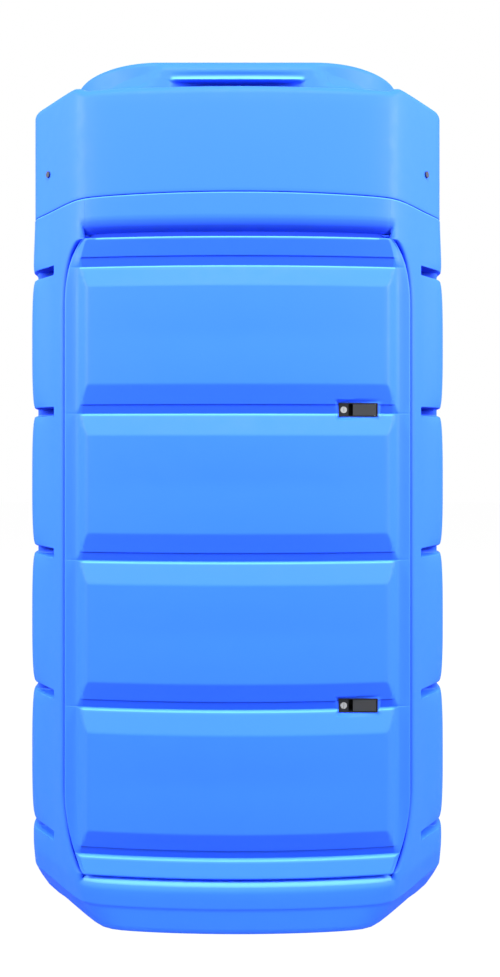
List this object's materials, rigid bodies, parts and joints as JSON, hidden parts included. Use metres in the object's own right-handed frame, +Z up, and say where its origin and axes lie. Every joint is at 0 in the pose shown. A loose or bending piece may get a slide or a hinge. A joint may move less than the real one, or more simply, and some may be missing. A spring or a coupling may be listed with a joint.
{
  "type": "liquid storage tank",
  "caption": "Tall moulded double-walled liquid tank with a flush lockable front cabinet door, a screwed hood and a hinged top lid over the filling fittings.",
  "frame": {"origin": "bottom centre of the bounding box, on the floor", "axes": "+Z up, -Y towards the cabinet door, +X to the right seen from the door"},
  "size_m": [1.2, 1.2, 2.3],
  "materials": {
    "blue_polyethylene": "satin rotomoulded",
    "natural_polyethylene": "satin moulded",
    "black_plastic": "fine textured",
    "grey_plastic": "fine textured",
    "black_rubber": "matt",
    "zinc_steel": "zinc plated",
    "brass": "machined",
    "red_plastic": "satin",
    "yellow_plastic": "satin",
    "clear_plastic": "glossy clear"
  },
  "bodies": {
    "tank": {"outer_tank": "blue_polyethylene", "inner_tank": "natural_polyethylene", "hood": "blue_polyethylene", "lid_seal": "black_rubber", "door_pivot_pin_upper": "zinc_steel", "door_pivot_pin_lower": "zinc_steel", "manhole_seal": "black_rubber", "fill_pipe": "black_plastic", "vent_pipe": "black_plastic", "level_gauge_body": "black_plastic", "level_gauge_dial": "clear_plastic", "suction_pipe": "black_plastic", "foot_strainer": "zinc_steel", "shutoff_valve": "brass", "pump_inlet_pipe": "black_plastic", "pump_bracket": "zinc_steel", "pump_head": "grey_plastic", "pump_motor": "black_plastic", "meter_pipe": "zinc_steel", "flow_meter": "black_plastic", "meter_display": "clear_plastic", "outlet_barb": "brass", "nozzle_holster": "black_plastic", "switch_box": "grey_plastic", "drip_tray": "black_plastic", "hood_screw_front_left": "zinc_steel", "hood_screw_rear_left": "zinc_steel", "lid_hinge_bracket_left": "zinc_steel", "lid_hinge_pin_left": "zinc_steel", "hood_screw_front_right": "zinc_steel", "hood_screw_rear_right": "zinc_steel", "lid_hinge_bracket_right": "zinc_steel", "lid_hinge_pin_right": "zinc_steel", "latch_keeper_upper": "zinc_steel", "latch_keeper_lower": "zinc_steel"},
    "door": {"door_panel": "blue_polyethylene", "door_liner": "blue_polyethylene", "door_seal": "black_rubber", "door_pivot_block_upper": "black_plastic", "door_pivot_block_lower": "black_plastic", "latch_housing_upper": "black_plastic", "latch_pin_upper": "zinc_steel", "latch_housing_lower": "black_plastic", "latch_pin_lower": "zinc_steel"},
    "lid": {"lid": "blue_polyethylene", "lid_hinge_leaf_left": "zinc_steel", "lid_hinge_leaf_right": "zinc_steel"},
    "fill_cap": {"fill_cap": "yellow_plastic"},
    "manhole_lid": {"manhole_lid": "black_plastic"},
    "nozzle": {"nozzle_spout": "zinc_steel", "nozzle_body": "black_plastic"},
    "trigger": {"nozzle_trigger": "red_plastic"},
    "valve_lever": {"valve_lever": "red_plastic"},
    "rocker": {"switch_rocker": "red_plastic"},
    "upper_paddle": {"latch_paddle_upper": "grey_plastic"},
    "upper_lock": {"lock_barrel_upper": "zinc_steel", "lock_cam_upper": "zinc_steel"},
    "lower_paddle": {"latch_paddle_lower": "grey_plastic"},
    "lower_lock": {"lock_barrel_lower": "zinc_steel", "lock_cam_lower": "zinc_steel"}
  },
  "joints": [
    {"name": "door_swing", "type": "hinge", "parent": "tank", "child": "door", "pos_m": [-0.4185, -0.5264, 0.9635], "axis": [0, 0, -1], "range_deg": [0, 110]},
    {"name": "lid_lift", "type": "hinge", "parent": "tank", "child": "lid", "pos_m": [0, 0.507, 2.224], "axis": [-1, 0, 0], "range_deg": [0, 100]},
    {"name": "fill_cap_lift", "type": "slide", "parent": "tank", "child": "fill_cap", "axis": [0, 0, 1], "range_m": [0, 0.08]},
    {"name": "manhole_lid_lift", "type": "slide", "parent": "tank", "child": "manhole_lid", "axis": [0, 0, 1], "range_m": [0, 0.18]},
    {"name": "nozzle_lift", "type": "slide", "parent": "tank", "child": "nozzle", "axis": [0, 0, 1], "range_m": [0, 0.12]},
    {"name": "trigger_squeeze", "type": "hinge", "parent": "nozzle", "child": "trigger", "pos_m": [0.28, -0.2953, 1.0953], "axis": [1, 0, 0], "range_deg": [-9, 0], "stiffness_Nm_per_rad": 0.3},
    {"name": "valve_turn", "type": "hinge", "parent": "tank", "child": "valve_lever", "pos_m": [-0.0725, -0.3123, 1.43], "axis": [0, -1, 0], "range_deg": [-90, 0]},
    {"name": "rocker_tilt", "type": "hinge", "parent": "tank", "child": "rocker", "pos_m": [-0.31, -0.2708, 1.52], "axis": [1, 0, 0], "range_deg": [0, 8]},
    {"name": "upper_paddle_pull", "type": "hinge", "parent": "door", "child": "upper_paddle", "pos_m": [0.359, -0.5585, 1.3488], "axis": [0, 0, 1], "range_deg": [0, 40], "stiffness_Nm_per_rad": 0.05},
    {"name": "upper_key_turn", "type": "hinge", "parent": "door", "child": "upper_lock", "pos_m": [0.277, -0.562, 1.3488], "axis": [0, 1, 0], "range_deg": [0, 90]},
    {"name": "lower_paddle_pull", "type": "hinge", "parent": "door", "child": "lower_paddle", "pos_m": [0.359, -0.5585, 0.5776], "axis": [0, 0, 1], "range_deg": [0, 40], "stiffness_Nm_per_rad": 0.05},
    {"name": "lower_key_turn", "type": "hinge", "parent": "door", "child": "lower_lock", "pos_m": [0.277, -0.562, 0.5776], "axis": [0, 1, 0], "range_deg": [0, 90]}
  ]
}
